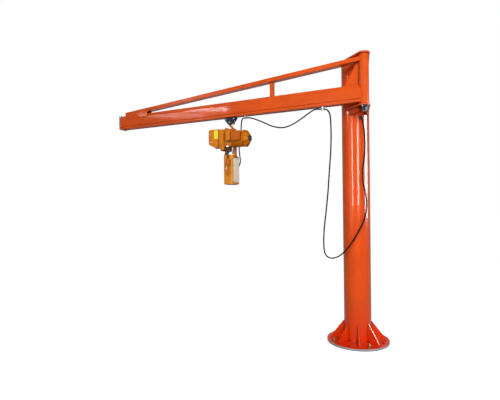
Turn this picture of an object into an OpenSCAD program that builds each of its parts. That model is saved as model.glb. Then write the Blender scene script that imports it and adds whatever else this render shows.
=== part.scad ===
// Pillar-mounted slewing jib crane with a hollow track rail and an electric chain hoist.
// Millimetres. Origin on the floor at the column's axis, +Z up, jib along -X at rest.

/* [Column] */
// Outside diameter of the column pipe
column_d = 273; // [250:1:300]
// Wall of the column pipe
column_wall = 8; // [5:0.5:12]
// Diameter of the round base plate
base_d = 620; // [600:5:700]
// Thickness of the base plate
base_t = 20; // [15:1:30]
// Number of base ribs, with one anchor hole between each two
rib_count = 8; // [6:1:10]
// Height of the ribs above the base plate
rib_h = 185; // [140:5:240]
// Thickness of a rib
rib_t = 10; // [6:1:16]
// Height of a rib's outer end
rib_toe = 14; // [8:1:30]
// Width of the plate's rim left outside the ribs
rib_margin = 36; // [20:1:50]
// Diameter of the anchor holes
anchor_hole_d = 26; // [18:1:32]
// Distance from the anchor holes' centres to the plate's rim
anchor_edge = 54; // [40:1:70]

/* [Bracket arms] */
// Distance from the column's axis to the pivot's axis
pivot_reach = 275; // [270:1:320]
// Direction of the bracket arms, from -Y towards +X
bracket_heading = 30; // [20:1:40]
// Thickness of the upper bracket plate
upper_plate_t = 16; // [10:1:25]
// Thickness of the lower bracket plate
lower_plate_t = 14; // [10:1:25]
// Width of the plate left round the post
nose_margin = 10; // [6:1:20]
// Thickness of the lower bracket's webs
web_t = 10; // [6:1:14]
// Depth of the webs at the column
web_root_h = 62; // [45:1:90]
// Depth of the webs at their free end
web_nose_h = 42; // [25:1:60]
// Diameter of the pivot pins
pin_d = 40; // [30:1:50]

/* [Jib] */
// Distance from the pivot's axis to the rail's tip
jib_reach = 3090; // [2600:10:3400]
// Height of the rail's top above the floor
rail_top_z = 2546; // [2300:2:2800]
// Height of the rail profile
rail_h = 172; // [160:1:190]
// Width of the rail profile
rail_w = 90; // [84:1:100]
// Width of the rail's flat crown
rail_crown_w = 40; // [30:1:60]
// Height of the sloping shoulders
rail_shoulder_h = 40; // [20:1:50]
// Wall of the rail profile
rail_wall = 5; // [3:0.5:6]
// Width of the slot along the rail's underside
rail_slot_w = 36; // [32:1:44]
// Outside diameter of the jib's post
post_d = 95; // [92:1:110]
// Wall of the post
post_wall = 6; // [4:0.5:10]
// Height of the post
post_h = 466; // [420:2:520]
// Width of the top chord tube
chord_w = 80; // [60:1:90]
// Height of the top chord tube
chord_h = 40; // [30:1:60]
// Wall of the chord and of the strut
tube_wall = 4; // [2:0.5:6]
// Height of the chord's top above the rail's top at the post
chord_rise = 266; // [230:2:280]
// Height of the chord's top above the rail's top at its outer end
chord_toe = 36; // [32:1:40]
// Distance from the rail's tip to the chord's outer end
chord_setback = 105; // [80:1:140]
// Distance from the pivot's axis to the strut
strut_reach = 957; // [800:5:1200]
// Side of the square strut
strut_w = 40; // [30:1:50]
// Length of the corner gusset along the rail, from the pivot's axis
gusset_reach = 188; // [150:1:240]
// Thickness of the corner gusset
gusset_t = 10; // [6:1:14]
// Length of the side plates at the jib's tip
tip_plate_l = 350; // [250:5:450]
// Thickness of the side plates
tip_plate_t = 5; // [3:0.5:8]

/* [Trolley] */
// Distance from the pivot's axis to the trolley at rest
trolley_reach = 1467; // [1400:1:1800]
// Length of the trolley's side cheeks at the top
cheek_top_l = 144; // [120:1:170]
// Length of the cheeks at the bottom
cheek_foot_l = 50; // [40:1:80]
// Thickness of the cheeks
cheek_t = 8; // [6:1:12]
// Clear width between the cheeks
cheek_gap = 36; // [34:1:44]
// Distance between the two axles
axle_pitch = 90; // [80:1:110]
// Diameter of the trolley wheels
wheel_d = 44; // [36:1:50]
// Width of a wheel
wheel_w = 12; // [8:1:13]
// Diameter of the load pin
load_pin_d = 16; // [12:1:20]
// Height of the load pin's axis below the rail
load_pin_drop = 56; // [52:1:70]

/* [Hoist] */
// Length of the rounded control cover
cover_l = 145; // [120:1:160]
// Depth of the hoist body, front to back
hoist_depth = 210; // [180:2:230]
// Height of the control cover
cover_h = 200; // [170:2:210]
// Radius of the motor barrel
barrel_r = 90; // [75:1:95]
// Length of the motor barrel
barrel_l = 130; // [100:1:160]
// Length of the motor's tapered end cover
end_cover_l = 56; // [40:1:70]
// Diameter of the top hook's round bar
top_hook_bar = 24; // [18:1:26]
// Width of the chain bucket along the jib
bucket_w = 116; // [90:1:130]
// Depth of the chain bucket, front to back
bucket_depth = 174; // [150:1:190]
// Height of the chain bucket
bucket_h = 330; // [280:2:360]
// Wall of the chain bucket
bucket_wall = 4; // [3:0.5:6]

/* [Hook] */
// Diameter of the chain's wire
chain_wire = 8; // [6:0.5:9]
// Inner length of a chain link
chain_pitch = 24; // [22:1:27]
// Width of the hook block
block_w = 48; // [44:1:60]
// Height of the hook block
block_h = 70; // [60:1:90]
// Diameter of the hook's round bar
hook_bar = 15; // [12:0.5:16]
// Radius from the hook's centre to the middle of its bar
hook_r = 26; // [22:0.5:28]

/* [Hidden] */
$fn = 72;

red = "#e4521a";
yellow = "#e8860f";
steel = "#8f959b";
dark = "#2b2f36";

web_spread = 104;                     // webs' outer faces from the middle, at the column
web_setback = 34;                     // webs' free ends from the pivot's axis
web_inset = 14;                       // webs' outer faces from the plate's edge, at the nose
pin_grip = 60;                        // how far a pin reaches past a washer into the post
pin_tail = 54;                        // how far the lower pin reaches below its plate
nut_ring_h = 14;
nut_h = 30;
disc_t = 20;
clip_drop = 21;                       // rail's underside to the cable in a saddle
stop_setback = 60;
stop_l = 26;
stop_plate_t = 4;
trolley_web_t = 14;
hoist_drop = 78;                      // heights in the hoist, below the load pin's axis
lug_drop = hoist_drop - 8;
motor_drop = 188;
flange_t = 8;
flange_lip = 6;
housing_h = 234;                      // hoist's top to the housing's underside
housing_floor_drop = 268;             // load pin to the underside round the chain
bucket_drop = 356;
rim_dip = 18;                         // how far the bucket's rim drops at the left
back_dip = 27;                        // how far it slopes down towards the back
back_run = 77;
block_drop = 402;
latch_l = 34;
latch_lean = 2.3;
latch_x = -15;                        // latch pin from the shank's axis
neck_r = 10;
block_t = 38;
lobe_r = block_w / 2;                 // the lower of the block's two round lobes
chain_pin_r = 4.5;
link_half_w = 1.65 * chain_wire;       // half the outer width of a chain link
chain_bore_r = link_half_w + 3.8;
tip_turn = 5;                         // how far a hook's tip is bent past level
seat = 0.3;      // gap between faces that move past each other at a seat
slip = 0.05;     // radial clearance of a pin in its bore
weld = 0.01;     // how far a solid reaches into a cut so that no skin is left
sink = 0.05;     // how far a flank starts inside the circle it leaves

// Column and bracket arms
column_r = column_d / 2;
base_r = base_d / 2;
rib_reach = base_r - rib_margin;
pin_r = pin_d / 2;
post_r = post_d / 2;
nose_r = post_r + nose_margin;
washer_t = 6;
rail_bottom_z = rail_top_z - rail_h;
post_drop = 10;                       // how far the post reaches below the rail
post_bottom_z = rail_bottom_z - post_drop;
post_top_z = post_bottom_z + post_h;
lower_plate_z = post_bottom_z - washer_t - seat - lower_plate_t;
upper_plate_z = post_top_z + washer_t + seat;
pivot_x = pivot_reach * sin(bracket_heading);
pivot_y = -pivot_reach * cos(bracket_heading);
anchor_r = base_r - anchor_edge;
rib_step = 360 / rib_count;
rib_first = -30;                      // direction of one rib, seen from above

// Cables
cable_d = 14;
outlet_heading = -56;                 // direction of the column's cable outlet
outlet_z = 2258;
clip_reach = 408;                     // pivot axis to the fixed clip under the rail
stop_inner = clip_reach + 52;
stop_w = rail_slot_w + 24;
carrier_reach = trolley_reach - 185;  // pivot axis to the rolling cable carrier

// Jib
rail_far = jib_reach;
chord_near_top = rail_top_z + chord_rise;
chord_far = jib_reach - chord_setback;
chord_slope = (chord_rise - chord_toe) / chord_far;
function chord_top(u) = chord_near_top - chord_slope * u;
function chord_under(u) = chord_top(u) - chord_h * sqrt(1 + chord_slope * chord_slope);
end_cap_t = 5;
groove = 5;                           // depth of the groove along the rail's side
groove_z = 32;                        // height of the groove above the rail's bottom
lip_r = 6;                            // bevel of the rail's lower corners

// Trolley
load_pin_z = rail_bottom_z - load_pin_drop;
cheek_top_z = rail_bottom_z - 5;
wheel_r = wheel_d / 2;
axle_r = 6;
axle_z = rail_bottom_z + rail_wall + seat + wheel_r;
wheel_in = rail_slot_w / 2 + 3;       // inner face of a wheel from the rail's middle
trolley_x = pivot_x - trolley_reach;

// Hoist: x runs along the jib from the load pin, y across it
motor_z = load_pin_z - motor_drop;
hoist_top_z = load_pin_z - hoist_drop;
lug_top_z = load_pin_z - lug_drop;
housing_floor_z = load_pin_z - housing_floor_drop;
housing_bottom_z = hoist_top_z - housing_h;
cover_near = 100;                     // load pin to the control cover's near end
housing_near = 48;                    // load pin to the gear housing's motor end
end_disc_r = 30;
hook_inner = load_pin_d / 2 + 4;      // radius of the top hook's bowl
hook_axis_r = hook_inner + top_hook_bar / 2;
top_hook_z = load_pin_z + load_pin_d / 2 + seat - hook_inner;  // the bowl hangs on the pin
chain_x = -8;
chain_y = -62;
block_top_z = load_pin_z - block_drop;
swivel_z = block_top_z - block_h;
link_step = chain_pitch - seat;
link_count = 2 * ceil((housing_floor_z - block_top_z) / link_step / 2) + 1;
chain_top_z = block_top_z - 8 + (link_count - 1) * link_step;  // the last link's middle
hook_z = swivel_z - 58;               // height of the load hook's centre
bucket_top_z = load_pin_z - bucket_drop;
bucket_x = -36;
bucket_front = -20;                   // bucket's front face from the rail's middle
bucket_y = bucket_front + bucket_depth / 2;

// ---- helpers ----

// Moves its children to the jib's frame: u outward along the jib from the pivot
module on_jib() { translate([pivot_x, pivot_y, 0]) mirror([1, 0, 0]) children(); }

// Moves its children to the load pin's axis, at floor height
module on_hoist() { translate([trolley_x, pivot_y, 0]) children(); }

// A disc or ring standing on z
module ring(r, inner_r, h) {
    difference() {
        cylinder(r = r, h = h);
        if (inner_r > 0) translate([0, 0, -1]) cylinder(r = inner_r, h = h + 2);
    }
}

// A plate with straight flanks from a big circle at the axis to a round nose along +X
module arm_plate(big, small, distance, h) {
    lean = acos((big - small) / distance);
    root = (big - sink) * [cos(lean), sin(lean)];
    tip = (small - sink) * [cos(lean), sin(lean)];
    translate([distance, 0, 0]) cylinder(r = small, h = h);
    linear_extrude(h) polygon([root, [distance + tip[0], tip[1]],
        [distance + tip[0], -tip[1]], [root[0], -root[1]]]);
}

// Extrudes an outline drawn in u and z, centred across the jib
module side_plate(t) { rotate([90, 0, 0]) linear_extrude(t, center = true) children(); }

// Extrudes an outline drawn across (x) and up (y) along the jib, from u to u + l
module along_jib(u, l) {
    translate([u, 0, 0]) rotate([90, 0, 90]) linear_extrude(l) children();
}

// A hex prism with its axis up
module hex(across, h) { cylinder(r = across / sqrt(3), h = h, $fn = 6); }

// Part of a round bar bent to a circle, in the XZ plane, from angle a to angle b
module bent_bar(bend, bar, a, b) {
    rotate([90, 0, 0]) rotate([0, 0, a])
        rotate_extrude(angle = b - a) translate([bend, 0]) circle(r = bar, $fn = 32);
}

// ---- cable sweep ----

function unit(v) = v / norm(v);
// A point on the smooth curve through p1 and p2, at t from 0 to 1
function smooth(p0, p1, p2, p3, t) = 0.5 * (2 * p1 + (p2 - p0) * t
    + (2 * p0 - 5 * p1 + 4 * p2 - p3) * t * t + (3 * p1 - p0 - 3 * p2 + p3) * t * t * t);
function route(p, steps) = let (n = len(p)) concat(
    [for (i = [0 : n - 2], s = [0 : steps - 1])
        smooth(p[max(i - 1, 0)], p[i], p[i + 1], p[min(i + 2, n - 1)], s / steps)],
    [p[n - 1]]);
// One ring of a tube's points, square to the curve
function tube_ring(p, i, r, sides) = let (n = len(p),
    along = unit(p[min(i + 1, n - 1)] - p[max(i - 1, 0)]),
    across = unit(cross(along, [0.05, 1, 0.02])), up = cross(across, along))
    [for (s = [0 : sides - 1]) p[i] + r * (across * cos(360 * s / sides) + up * sin(360 * s / sides))];
module tube(points, steps, r, sides = 8) {
    p = route(points, steps);
    n = len(p);
    polyhedron(
        points = [for (i = [0 : n - 1], q = tube_ring(p, i, r, sides)) q],
        faces = concat([[for (s = [0 : sides - 1]) s]],
            [for (i = [0 : n - 2], s = [0 : sides - 1]) let (a = i * sides, k = (s + 1) % sides)
                [a + s, a + sides + s, a + sides + k, a + k]],
            [[for (s = [sides - 1 : -1 : 0]) (n - 1) * sides + s]]));
}

// Where the cable runs, in order from the column to the hoist
SUPPLY_ROUTE = [[80.8, -119.8, 2258], [86, -128, 2256], [96, -137, 2235], [115, -138, 2106],
    [121, -136, 1970], [113, -138, 1860], [98, -142, 1746], [95, -142, 1645],
    [110, -138, 1554], [129, -134, 1464], [130, -134, 1374], [116, -138, 1284],
    [84, -146, 1194], [30, -158, 1090], [-26, -168, 1000], [-87, -178, 924],
    [-148, -188, 876], [-210, -198, 860], [-256, -206, 880], [-278, -212, 930],
    [-282, -218, 1030], [-273, -224, 1160], [-251, -228, 1330], [-228, -232, 1526],
    [-209, -235, 1754], [-194, -238, 1924], [-188, -238, 2095], [-191, -238, 2240],
    [-200, -238.2, 2300], [-213, -238.2, 2329], [-233, -238.2, 2347], [-255.2, -238.2, 2353]];
FESTOON_ROUTE = [[-285.8, -238.2, 2353], [-310, -238.2, 2358], [-340, -238, 2359], [-388, -238, 2346],
    [-513, -238, 2272], [-620, -238, 2223], [-718, -238, 2209], [-828, -238, 2236],
    [-934, -238, 2288], [-1060, -238, 2342], [-1129.3, -238.2, 2353]];
HOIST_ROUTE = [[-1159.8, -238.2, 2353], [-1180, -235, 2349], [-1206, -214, 2322], [-1240, -165, 2245],
    [-1299, -105, 2071], [-1308, -80, 1974], [-1312, -58, 1900], [-1340, -50, 1840],
    [-1390, -52, 1835], [-1424, -70, 1890], [-1440, -110, 1960], [-1451, -147, 1997],
    [-1451.5, -150.2, 2012], [-1451.5, -150.2, 2027.7]];

// ---- column ----

module base_plate() color(red) {
    difference() {
        cylinder(r = base_r, h = base_t, $fn = 120);
        for (i = [0 : rib_count - 1])
            rotate(rib_first + (i + 0.5) * rib_step)
                translate([anchor_r, 0, -1]) cylinder(r = anchor_hole_d / 2, h = base_t + 2);
    }
}

module base_ribs() color(red) {
    difference() {
        for (i = [0 : rib_count - 1])
            rotate(rib_first + i * rib_step) translate([0, 0, base_t]) side_plate(rib_t)
                polygon([[column_r - 5, 0], [rib_reach, 0], [rib_reach, rib_toe],
                    [column_r + 6, rib_h], [column_r - 5, rib_h]]);
        translate([0, 0, base_t - 1]) cylinder(r = column_r, h = rib_h + 2, $fn = 120);
    }
}

module column_tube() color(red) {
    difference() {
        translate([0, 0, base_t])
            ring(column_r, column_r - column_wall, upper_plate_z - base_t, $fn = 120);
        translate([0, 0, outlet_z]) rotate([0, 90, outlet_heading]) cylinder(r = 14, h = column_d);
    }
}

// Turns its children from +X to the bracket arms' direction
module on_bracket() { rotate(bracket_heading - 90) children(); }

module upper_bracket_plate() color(red) {
    on_bracket() translate([0, 0, upper_plate_z]) difference() {
        union() {
            cylinder(r = column_r + 3, h = upper_plate_t, $fn = 120);
            arm_plate(column_r + 3, nose_r, pivot_reach, upper_plate_t);
        }
        translate([pivot_reach, 0, -1]) cylinder(r = pin_r + slip, h = upper_plate_t + 2);
    }
}

module lower_bracket_plate() color(red) {
    on_bracket() translate([0, 0, lower_plate_z]) difference() {
        arm_plate(column_r, nose_r, pivot_reach, lower_plate_t);
        translate([0, 0, -1]) cylinder(r = column_r, h = lower_plate_t + 2, $fn = 120);
        translate([pivot_reach, 0, -1]) cylinder(r = pin_r + slip, h = lower_plate_t + 2);
    }
}

module lower_bracket_webs() color(red) {
    near = [sqrt(column_r * column_r - web_spread * web_spread) - web_t, web_spread];
    far = [pivot_reach - web_setback, nose_r - web_inset];
    web_l = norm(far - near);
    on_bracket() difference() {
        for (m = [0, 1])
            mirror([0, m, 0]) translate([near[0], near[1], lower_plate_z])
                rotate(atan2(far[1] - near[1], far[0] - near[0]))
                    translate([0, -web_t / 2, 0]) side_plate(web_t)
                        polygon([[0, 0], [web_l, 0], [web_l, -web_nose_h], [0, -web_root_h]]);
        translate([0, 0, lower_plate_z - web_root_h - 1])
            cylinder(r = column_r, h = web_root_h + 2, $fn = 120);
    }
}

// Two pins that stand in the bracket plates and reach into the post's end discs
module pivot_pins() color(steel) {
    translate([pivot_x, pivot_y, 0]) {
        translate([0, 0, upper_plate_z - washer_t - pin_grip])
            cylinder(r = pin_r, h = pin_grip + washer_t + upper_plate_t);
        translate([0, 0, upper_plate_z + upper_plate_t]) cylinder(r = pin_r + 8, h = 8);
        translate([0, 0, lower_plate_z - pin_tail])
            cylinder(r = pin_r, h = pin_tail + lower_plate_t + washer_t + pin_grip);
    }
}

module pivot_washers() color(steel) {
    translate([pivot_x, pivot_y, 0])
        for (z = [lower_plate_z + lower_plate_t, upper_plate_z - washer_t])
            translate([0, 0, z]) ring(post_r - 12, pin_r + 0.5, washer_t);
}

// Bearing ring, washer and nut under the lower bracket plate
module pivot_nut() color(dark) {
    translate([pivot_x, pivot_y, 0]) difference() {
        union() {
            translate([0, 0, lower_plate_z - nut_ring_h]) cylinder(r = post_r - 4, h = nut_ring_h);
            translate([0, 0, lower_plate_z - nut_ring_h - nut_h]) hex(pin_d * 1.5, nut_h);
        }
        translate([0, 0, lower_plate_z - pin_tail - 1]) cylinder(r = pin_r + slip, h = pin_tail + 2);
    }
}

module cable_grommet() color(dark) {
    translate([0, 0, outlet_z]) rotate([0, 90, outlet_heading]) difference() {
        union() {
            translate([0, 0, column_r - column_wall - 2]) cylinder(r = 13.7, h = column_wall + 4);
            translate([0, 0, column_r + 1]) cylinder(r = 19, h = 7);
        }
        translate([0, 0, column_r - column_wall - 3]) cylinder(r = cable_d / 2 + seat, h = 40);
    }
}

module supply_cable() color(dark) tube(SUPPLY_ROUTE, 1, cable_d / 2);

// ---- jib ----

module jib_post() color(red) {
    translate([pivot_x, pivot_y, post_bottom_z]) ring(post_r, post_r - post_wall, post_h);
}

module post_end_discs() color(red) {
    translate([pivot_x, pivot_y, 0])
        for (z = [post_bottom_z, post_top_z - disc_t])
            translate([0, 0, z]) ring(post_r - post_wall, pin_r + slip, disc_t);
}

// Half of the rail's outline, from the crown down to the slot, set in by a wall
function rail_half(t) = [
    [rail_crown_w / 2 - t * 0.4, rail_h - t],
    [rail_w / 2 - t, rail_h - rail_shoulder_h - t * 0.4],
    [rail_w / 2 - t, groove_z + groove],
    [rail_w / 2 - groove - t, groove_z],
    [rail_w / 2 - t, groove_z - groove],
    [rail_w / 2 - t, lip_r + t * 0.4],
    [rail_w / 2 - lip_r - t * 0.4, t]];
function flipped(half) = [for (i = [len(half) - 1 : -1 : 0]) [-half[i][0], half[i][1]]];

module rail_outline(t) polygon(concat(rail_half(t), flipped(rail_half(t))));

// The part of the jib's plane that the post and all behind it take up
module clear_of_post() {
    difference() {
        children();
        translate([0, 0, rail_bottom_z - 1]) cylinder(r = post_r, h = post_h + 2);
        translate([-post_d * 2, -post_d, rail_bottom_z - 1]) cube([post_d * 2, post_d * 2, post_h + 2]);
    }
}

module track_rail() color(red) {
    on_jib() clear_of_post() translate([0, 0, rail_bottom_z]) difference() {
        along_jib(0, rail_far) rail_outline(0);
        along_jib(-1, rail_far + 2) rail_outline(rail_wall);
        translate([-1, -rail_slot_w / 2, -1]) cube([rail_far + 2, rail_slot_w, rail_wall + 2]);
    }
}

module rail_end_cap() color(steel) {
    on_jib() translate([0, 0, rail_bottom_z]) along_jib(rail_far, end_cap_t) rail_outline(1);
}

// A rubber-faced block near each end of the track, held by a bolt through the slot
module rail_stops() color(dark) {
    on_jib() {
        for (u = [stop_inner, rail_far - stop_setback])
            translate([u - stop_l / 2, -stop_w / 2, rail_bottom_z + rail_wall]) cube([stop_l, stop_w, 30]);
        translate([rail_far - stop_setback, 0, rail_bottom_z]) {
            translate([0, 0, -stop_plate_t]) cylinder(r = 5, h = rail_wall + stop_plate_t + 2);
            translate([-stop_l / 2, -stop_w / 2, -stop_plate_t]) cube([stop_l, stop_w, stop_plate_t]);
            translate([0, 0, -stop_plate_t - 9]) hex(17, 9);
        }
    }
}

module chord_outline(inset) {
    polygon([[0, chord_top(0) - inset], [chord_far, chord_top(chord_far) - inset],
        [chord_far, chord_under(chord_far) + inset], [0, chord_under(0) + inset]]);
}

module top_chord() color(red) {
    on_jib() clear_of_post() difference() {
        side_plate(chord_w) chord_outline(0);
        side_plate(chord_w - 2 * tube_wall) chord_outline(tube_wall);
        translate([0, -chord_w, 0]) cube([jib_reach, chord_w * 2, rail_top_z]);
    }
}

module chord_strut() color(red) {
    left = strut_reach - strut_w / 2;
    right = strut_reach + strut_w / 2;
    on_jib() difference() {
        side_plate(strut_w)
            polygon([[left, rail_top_z], [right, rail_top_z], [right, chord_under(right)], [left, chord_under(left)]]);
        translate([strut_reach, 0, rail_top_z - 1]) linear_extrude(chord_rise + 2)
            square(strut_w - 2 * tube_wall, center = true);
    }
}

module corner_gusset() color(red) {
    on_jib() clear_of_post() side_plate(gusset_t)
        polygon([[0, rail_top_z], [gusset_reach, rail_top_z],
            [post_r + 16, chord_under(post_r + 16)], [0, chord_under(0)]]);
}

// Plates that close the sharp corner between chord and rail, one on each side
module tip_side_plates() color(red) {
    near = chord_far - tip_plate_l;
    on_jib() difference() {
        for (m = [0, 1])
            mirror([0, m, 0]) translate([0, chord_w / 2 + tip_plate_t / 2, 0]) side_plate(tip_plate_t)
                polygon([[near, rail_top_z - rail_shoulder_h], [chord_far, rail_top_z - rail_shoulder_h],
                    [chord_far, chord_top(chord_far)], [near, chord_top(near)]]);
        translate([0, 0, rail_bottom_z]) along_jib(0, rail_far) rail_outline(0);
    }
}

// A small saddle that hangs the cable under the slot
module saddle() {
    difference() {
        union() {
            translate([0, 0, rail_wall + 2 + seat]) cube([40, rail_slot_w + 20, 4], center = true);
            translate([0, 0, -5]) cube([24, 10, 22], center = true);
            translate([0, 0, -clip_drop]) rotate([0, 90, 0]) cylinder(r = cable_d / 2 + 4, h = 30, center = true);
        }
        translate([0, 0, -clip_drop]) rotate([0, 90, 0])
            cylinder(r = cable_d / 2 + seat, h = 32, center = true);
    }
}

module cable_clip() color(steel) on_jib() translate([clip_reach, 0, rail_bottom_z]) saddle();

module festoon_cable() color(dark) tube(FESTOON_ROUTE, 2, cable_d / 2);

// ---- trolley ----

module hoist_cable() color(dark) tube(HOIST_ROUTE, 2, cable_d / 2);

module trolley_cheeks() color(dark) {
    on_hoist() for (m = [0, 1])
        mirror([0, m, 0]) translate([0, cheek_gap / 2 + cheek_t / 2, 0]) difference() {
            side_plate(cheek_t)
                polygon([[-cheek_top_l / 2, cheek_top_z], [cheek_top_l / 2, cheek_top_z],
                    [cheek_top_l / 2, cheek_top_z - 10], [cheek_foot_l / 2, load_pin_z - 18],
                    [-cheek_foot_l / 2, load_pin_z - 18], [-cheek_top_l / 2, cheek_top_z - 10]]);
            translate([0, 0, load_pin_z]) rotate([90, 0, 0])
                cylinder(r = load_pin_d / 2 + slip, h = cheek_t + 2, center = true);
        }
}

// The web that passes through the slot, with the crown between the cheeks
module trolley_body() color(dark) {
    on_hoist() {
        difference() {
            side_plate(trolley_web_t)
                polygon([[-cheek_top_l / 2, cheek_top_z - 8], [cheek_top_l / 2, cheek_top_z - 8],
                    [cheek_top_l / 2 - 6, axle_z + 12], [-cheek_top_l / 2 + 6, axle_z + 12]]);
            for (s = [-1, 1])
                translate([s * axle_pitch / 2, 0, axle_z]) rotate([90, 0, 0])
                    cylinder(r = axle_r + slip, h = trolley_web_t + 2, center = true);
        }
        for (m = [0, 1])
            mirror([0, m, 0]) translate([-cheek_top_l / 2, trolley_web_t / 2, cheek_top_z - 8])
                cube([cheek_top_l, cheek_gap / 2 - trolley_web_t / 2, 8]);
    }
}

module trolley_wheels() color(steel) {
    on_hoist() for (s = [-1, 1]) translate([s * axle_pitch / 2, 0, axle_z]) rotate([90, 0, 0]) {
        cylinder(r = axle_r, h = 2 * (wheel_in + wheel_w), center = true);
        for (m = [0, 1]) mirror([0, 0, m]) translate([0, 0, wheel_in]) cylinder(r = wheel_r, h = wheel_w);
    }
}

module load_pin() color(steel) {
    on_hoist() translate([0, 0, load_pin_z]) rotate([90, 0, 0]) {
        cylinder(r = load_pin_d / 2, h = cheek_gap + 2 * cheek_t + 12, center = true);
        for (m = [0, 1]) mirror([0, 0, m]) translate([0, 0, cheek_gap / 2 + cheek_t + seat])
            cylinder(r = load_pin_d / 2 + 5, h = 5);
    }
}

// A saddle that rolls in the slot ahead of the trolley, with its tow bar
module cable_carrier() color(steel) {
    on_jib() translate([carrier_reach, 0, rail_bottom_z]) saddle();
    on_jib() translate([carrier_reach + 20, -4, rail_bottom_z + rail_wall + seat])
        cube([trolley_reach - carrier_reach - 20 - cheek_top_l / 2 + 1.5, 8, 4]);
}

// ---- hoist ----

// A rounded rectangle between two corners
module round_rect(low, high, r) {
    size = high - low;
    translate(low) {
        translate([r, 0]) square([size[0] - 2 * r, size[1]]);
        translate([0, r]) square([size[0], size[1] - 2 * r]);
        for (x = [r, size[0] - r], y = [r, size[1] - r]) translate([x, y]) circle(r = r);
    }
}

module gear_housing() color(yellow) {
    half = hoist_depth / 2;
    on_hoist() difference() {
        union() {
            intersection() {
                translate([0, 0, housing_bottom_z]) linear_extrude(housing_h - 4)
                    round_rect([-cover_near, -half + 4], [-40, half - 4], 8);
                side_plate(hoist_depth)
                    polygon([[-cover_near, hoist_top_z - cover_h], [-cover_near + 26, housing_bottom_z],
                        [-52, housing_bottom_z], [-40, housing_bottom_z + 12],
                        [-40, hoist_top_z - 4], [-cover_near, hoist_top_z - 4]]);
            }
            translate([-40, -80, housing_floor_z])
                cube([40 + housing_near, 160, hoist_top_z - 14 - housing_floor_z]);
            translate([0, 0, motor_z - 22]) linear_extrude(96)
                round_rect([-18, -half + 2], [44, -62], 14);
        }
        translate([chain_x, chain_y, housing_floor_z - 1]) cylinder(r = chain_bore_r, h = 44);
    }
    on_hoist() translate([chain_x, chain_y, 0])
        chain_pin(chain_top_z + chain_pitch / 2 - seat - chain_pin_r, 35);
}

module control_cover() color(yellow) {
    half = hoist_depth / 2;
    far = cover_near + cover_l;
    on_hoist() intersection() {
        translate([0, 0, hoist_top_z - cover_h]) linear_extrude(cover_h)
            union() {
                round_rect([-far, -half], [-cover_near, half], 38);
                translate([-far + 60, -half]) square([cover_l - 60, hoist_depth]);
            }
        side_plate(hoist_depth + 2)
            polygon([[-cover_near, hoist_top_z - cover_h], [-far + 90, hoist_top_z - cover_h],
                [-far, hoist_top_z - cover_h + 46], [-far, hoist_top_z - 18],
                [-far + 34, hoist_top_z], [-cover_near, hoist_top_z]]);
    }
}

module motor_barrel() color(yellow) {
    on_hoist() translate([housing_near, 0, motor_z]) rotate([0, 90, 0]) {
        cylinder(r = barrel_r, h = barrel_l);
        cylinder(r = barrel_r + flange_lip, h = flange_t);
    }
}

// The box on the motor's front that covers its terminals, with an overhanging lid
module terminal_box() color(yellow) {
    l = barrel_l - flange_t - 12;
    on_hoist() difference() {
        translate([housing_near + flange_t + 4, 0, motor_z - 23]) {
            translate([0, -barrel_r - 14, 0]) cube([l, 78, 96]);
            translate([-3, -barrel_r - 20, -3]) cube([l + 6, 6, 102]);
        }
        translate([housing_near, 0, motor_z]) rotate([0, 90, 0]) cylinder(r = barrel_r, h = barrel_l);
    }
}

module motor_end_cover() color(yellow) {
    on_hoist() translate([housing_near + barrel_l, 0, motor_z]) rotate([0, 90, 0]) rotate(22.5) {
        cylinder(r = barrel_r + 8, h = flange_t + 6, $fn = 8);
        translate([0, 0, flange_t + 6])
            cylinder(r1 = barrel_r - 8, r2 = end_disc_r + 12, h = end_cover_l - flange_t - 6, $fn = 8);
        for (i = [0 : 7]) rotate(45 * i) side_plate(9)
            polygon([[end_disc_r, flange_t], [barrel_r + 5, flange_t], [barrel_r + 5, flange_t + 10],
                [end_disc_r + 20, end_cover_l], [end_disc_r, end_cover_l]]);
    }
}

module motor_end_disc() color(dark) {
    on_hoist() translate([housing_near + barrel_l + end_cover_l, 0, motor_z]) rotate([0, 90, 0])
        cylinder(r = end_disc_r, h = 14);
}

// Bridge on top of the housing that takes the top hook's shank
module suspension_lug() color(yellow) {
    on_hoist() {
        translate([-62, -28, hoist_top_z - 4]) cube([22, 56, 24]);
        translate([-38, -8, lug_top_z - 6]) cylinder(r = 14, h = 15);
        translate([-40, -28, hoist_top_z - 14]) cube([94, 56, lug_top_z - hoist_top_z + 14]);
    }
}

module top_hook() color(yellow) {
    bar = top_hook_bar / 2;
    shank = 120;
    far = hook_axis_r + shank;
    on_hoist() difference() {
        translate([0, 0, top_hook_z]) {
            bent_bar(hook_axis_r, bar, -tip_turn, 225);
            rotate([0, tip_turn, 0]) translate([hook_axis_r, 0, 0]) sphere(r = bar);
            rotate([0, -225, 0]) translate([hook_axis_r, 0, 0]) cylinder(r = bar, h = shank);
        }
        translate([-far, -top_hook_bar, lug_top_z - far]) cube([2 * far, 2 * top_hook_bar, far]);
    }
}

// Plate from a hinge barrel on the straight bar up to the hook's tip
module top_hook_latch() color(steel) {
    bar = top_hook_bar / 2;
    foot = -(hook_axis_r - bar - 3.5 - seat) * sqrt(2) - hook_axis_r;
    top = -hook_axis_r * sin(tip_turn) - bar - seat;
    on_hoist() translate([hook_axis_r, 0, top_hook_z]) {
        translate([0, 0, foot]) rotate([90, 0, 0]) cylinder(r = 3.5, h = 16, center = true);
        translate([-1.5, -8, foot]) cube([3, 16, top - foot]);
    }
}

module cable_glands() color(dark) {
    on_hoist() for (p = [[-122, 88], [-146, -78], [-116, -78]])
        translate([p[0], p[1], hoist_top_z - cover_h - 12]) ring(10, 0, 12);
}

module chain_guide() color(steel) {
    on_hoist() translate([chain_x, chain_y, housing_floor_z - 10])
        ring(chain_bore_r + 7, chain_bore_r, 10);
}

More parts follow.
